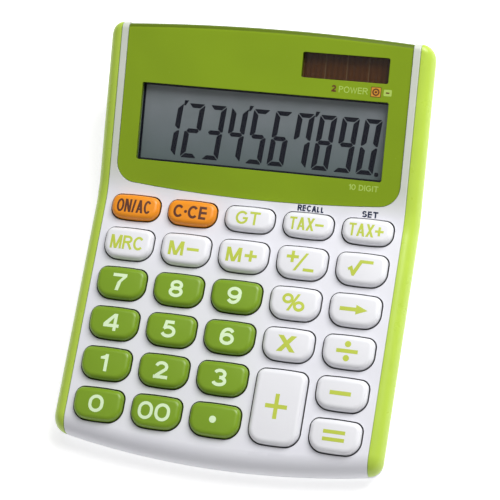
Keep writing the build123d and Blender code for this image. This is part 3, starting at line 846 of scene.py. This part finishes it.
# ---- display digits, and the line round them ----
DIGIT_WIDTH = 5.5
DIGIT_HEIGHT = 17.45
DIGIT_STROKE = 1.72              # of the upright bars
DIGIT_BAR = 1.4                  # of the level bars
DIGIT_PITCH = 7.22
DIGIT_SLANT = math.tan(math.radians(5.4))
DIGIT_BASE = 13.1                # the digits' feet, up the display's slope from the crease
LAST_DIGIT_X = 31.25
COMMA_AFTER = (0, 3, 6)          # the thousands marks stand high after these digits
COMMA = [(-1.6, 18.3), (-0.2, 18.3), (-0.55, 17.6), (-1.0, 16.6), (-1.65, 16.6)]
BORDER_MIDDLE = 23.6             # up the display's slope from the crease
BORDER_SIZE = (81.0, 25.2)       # its outer edge lies 0.25 under the panel's
BORDER_LINE = 0.8
LIT = {
    "0": "abcdef", "1": "bc", "2": "abdeg", "3": "abcdg", "4": "bcfg",
    "5": "acdfg", "6": "acdefg", "7": "abcf", "8": "abcdefg", "9": "abcdfg",
}


def segments():
    """The seven bars of an upright digit, named a to g clockwise from the top, g in the middle."""
    width, height, middle = DIGIT_WIDTH, DIGIT_HEIGHT, DIGIT_HEIGHT / 2
    stroke, bar = DIGIT_STROKE, DIGIT_BAR
    top = [(0.1 + bar, height - bar), (0.3, height - 0.2), (0.45, height)]
    top += [(width - x, y) for x, y in reversed(top)]
    left = [(0, height - 0.6), (0, middle + 0.45), (0.3, middle + 0.2), (0.7, middle + 0.3)]
    left += [(stroke, middle + 1.2), (stroke, height - stroke - 0.24), (0.15, height - 0.39)]
    dash = [(0.65, middle), (1.25, middle + bar / 2)]
    dash += [(width - x, y) for x, y in reversed(dash)]
    dash += [(width - 1.25, middle - bar / 2), (1.25, middle - bar / 2)]

    def across(points):
        return [(width - x, y) for x, y in points]

    def over(points):
        return [(x, height - y) for x, y in points]

    return {
        "a": top, "d": over(top), "f": left, "b": across(left),
        "e": over(left), "c": over(across(left)), "g": dash,
    }


def slanted(points, x):
    """A digit's points leant over, with its foot this far along the display."""
    return [(x + px + py * DIGIT_SLANT, DIGIT_BASE + py) for px, py in points]


def display_digits(text="1234567890"):
    """The lit digits, with thousands marks and a point after the last one."""
    bars = segments()
    for index, digit in enumerate(text):
        left = LAST_DIGIT_X - DIGIT_PITCH * (len(text) - 1 - index)
        figures = [polygon(*slanted(bars[name], left)) for name in LIT[digit]]
        if index - 1 in COMMA_AFTER:
            figures.append(polygon(*slanted(COMMA, left)))
        if index == len(text) - 1:
            figures.append(rounded(left + 6.7, DIGIT_BASE + 0.35, 1.3, 1.3, 0.4))
        print_on(
            f"display_digit_{index + 1}", joined(*figures), "lcd_glass", DISPLAY, DIGIT_DARK,
            lift=0.03, depth=0.04, longest=LARGE_FACES,
        )


def frame_of(x, y, width, height, line):
    """A rectangular outline of this outer size."""
    across = [rectangle(x, y + sign * (height - line) / 2, width, line) for sign in (-1, 1)]
    upright = [rectangle(x + sign * (width - line) / 2, y, line, height) for sign in (-1, 1)]
    return joined(*across, *upright)


def display_border():
    """Dark line on the glass along the edge of the panel's opening: painted shade where the opening's edge
    shadows the glass.
    """
    border = frame_of(0.0, BORDER_MIDDLE, *BORDER_SIZE, BORDER_LINE)
    print_on("display_border", border, "lcd_glass", DISPLAY, DIGIT_DARK, lift=0.02, longest=LARGE_FACES)


# ---- small marks on the panel ----
LABEL_Y = 38.9                   # the power label, up the display's slope from the crease
SUN_X = 35.9
CELL_X = 39.6


def panel_mark(name, figure, x, y, material, **settings):
    place = DISPLAY @ Matrix.Translation((x, y, 0))
    print_on(f"panel_{name}", figure, "display_panel", place, material, **settings)


def panel_marks():
    """The panel's printing. A mark over another one stands a little higher."""
    panel_mark("ten_digit", lettering("10 DIGIT", 9.4, 1.8, 0.3), 34.9, 9.0, PANEL_PALE, longest=4.0)
    panel_mark("two", lettering("2", 1.5, 2.1, 0.5), 22.5, 39.0, PANEL_RED, longest=4.0)
    panel_mark("power", lettering("POWER", 9.2, 2.0, 0.28), 28.7, LABEL_Y, PANEL_PALE, longest=4.0)
    panel_mark("sun_square", rounded(0, 0, 3.3, 3.2, 0.3), SUN_X, LABEL_Y, PANEL_RED, longest=4.0)
    panel_mark("cell_frame", rounded(0, 0, 2.5, 2.0, 0.3), CELL_X, LABEL_Y, PANEL_PALE, longest=4.0)
    panel_mark("sun_field", rounded(0, 0, 2.9, 2.8, 0.2), SUN_X, LABEL_Y, PANEL_ORANGE, lift=0.05)
    panel_mark("cell_bar", rectangle(0, 0, 1.1, 0.4), CELL_X, LABEL_Y, PANEL_RED, lift=0.05)
    sun = joined(ring(0, 0, 1.15, 0.72), disc(0, 0, 0.38))
    panel_mark("sun_rings", sun, SUN_X, LABEL_Y, PANEL_RED, lift=0.07)


# ---- the silicone sheet, with the domes cut off it as pieces of their own ----
SHEET_CUT = CASE @ Vector((0, 0, -4.48))     # just above the sheet's flat top
WELD = 1e-6                                  # points of the sheet this close are one, in metres


def half_sheet(above):
    """The silicone sheet's part above or below the cut, closed where it was cut."""
    half = bmesh.new()
    half.from_mesh(frame["nodes"]["keypad_membrane"].data)
    bmesh.ops.remove_doubles(half, verts=half.verts, dist=WELD)
    whole = half.verts[:] + half.edges[:] + half.faces[:]
    cut = bmesh.ops.bisect_plane(
        half, geom=whole, plane_co=SHEET_CUT, plane_no=CASE_UP, clear_inner=above, clear_outer=not above,
    )
    rims = [edge for edge in cut["geom_cut"] if isinstance(edge, bmesh.types.BMEdge)]
    bmesh.ops.triangle_fill(half, edges=rims, use_beauty=True)
    bmesh.ops.recalc_face_normals(half, faces=half.faces)
    return half


def silicone_piece(name, figure):
    """A piece of the sheet, shaded smooth between its edges."""
    piece = add_piece(name, figure, MATERIALS["silicone"], "case")
    if "custom_normal" in piece.data.attributes:
        piece.data.attributes.remove(piece.data.attributes["custom_normal"])
    piece.data.shade_smooth()
    piece.data.set_sharp_from_angle(angle=math.radians(35))
    return piece


def silicone_sheet():
    """The sheet below the cut as one piece, and every dome above it as its own."""
    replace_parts(silicone_piece("silicone_sheet", half_sheet(above=False)), "keypad_membrane")
    domes = half_sheet(above=True)
    for key in sorted(KEYS):
        low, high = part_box(key)
        own = domes.copy()
        others = [
            vert for vert in own.verts
            if not (low.x < vert.co.x < high.x and low.y < vert.co.y < high.y)
        ]
        bmesh.ops.delete(own, geom=others, context="VERTS")
        dome = silicone_piece(f"dome_of_{key}", own)
        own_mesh(dome)
    domes.free()


# ---- floor, lights and camera ----
FLOOR_REACH = 4.0


def floor():
    """Pale floor, clear when looked at from below."""
    nodes = Nodes("floor_pale")
    nodes.feed(
        Base_Color=nodes.blend(nodes.patches(300.0, detail=2.0), (0.86, 0.86, 0.86, 1), (0.9, 0.9, 0.9, 1))
    )
    nodes.set(Roughness=0.7, Emission_Strength=0.5)
    from_below = nodes.add("ShaderNodeNewGeometry").outputs["Backfacing"]
    nodes.mix_shaders(from_below, nodes.shader, nodes.add("ShaderNodeBsdfTransparent"))
    mesh = bpy.data.meshes.new("floor")
    square = block(-FLOOR_REACH, -FLOOR_REACH, FLOOR_REACH, FLOOR_REACH)
    square.to_mesh(mesh)
    square.free()
    mesh.materials.append(nodes.material)
    ground = bpy.data.objects.new("floor", mesh)
    bpy.context.scene.collection.objects.link(ground)


def direction(azimuth, elevation):
    """The way out from the object, in degrees: azimuth 0 is to the right and 90 is to the back."""
    a, e = math.radians(azimuth), math.radians(elevation)
    return Vector((math.cos(e) * math.cos(a), math.cos(e) * math.sin(a), math.sin(e)))


def area_light(name, azimuth, elevation, distance, size, power):
    """A square soft light that faces the object from this direction."""
    lamp = bpy.data.lights.new(name, "AREA")
    lamp.shape = "SQUARE"
    lamp.size = size
    lamp.energy = power
    towards = direction(azimuth, elevation)
    holder = bpy.data.objects.new(name, lamp)
    holder.location = towards * distance
    holder.rotation_euler = towards.to_track_quat("Z", "Y").to_euler()
    bpy.context.scene.collection.objects.link(holder)


def studio():
    """A dim white surround, a bright light from the back right, and two softer ones."""
    world = bpy.data.worlds.new("studio")
    world.use_nodes = True
    sky = world.node_tree.nodes["Background"]
    sky.inputs["Color"].default_value = (1.0, 1.0, 1.0, 1.0)
    sky.inputs["Strength"].default_value = 0.3
    bpy.context.scene.world = world
    area_light("key_light", azimuth=48, elevation=46, distance=0.7, size=0.4, power=4.25)
    area_light("back_light", azimuth=80, elevation=55, distance=0.8, size=0.5, power=1.3)
    area_light("fill_light", azimuth=190, elevation=70, distance=1.2, size=0.9, power=0.4)
    bpy.context.scene.view_settings.view_transform = "Standard"


def camera():
    """A long lens from the front right, high up, turned so the object leans to the right."""
    roll, distance = math.radians(-34.59), 0.54484
    target = CASE @ Vector((1.657, 2.529, 0))
    back = direction(-46.91, 67.71)
    level = Vector((0, 0, 1)).cross(back).normalized()
    upright = back.cross(level)
    right = math.cos(roll) * level + math.sin(roll) * upright
    up = back.cross(right)
    lens = bpy.data.cameras.new("camera")
    lens.lens = 125.01
    lens.sensor_width = 36.0
    lens.clip_start = 0.01
    holder = bpy.data.objects.new("camera", lens)
    turn = Matrix((right, up, back)).transposed().to_4x4()
    holder.matrix_world = Matrix.Translation(target + back * distance) @ turn
    bpy.context.scene.collection.objects.link(holder)
    bpy.context.scene.camera = holder


silicone_sheet()
key_legends()
case_legends()
display_border()
display_digits()
panel_marks()
floor()
studio()
camera()
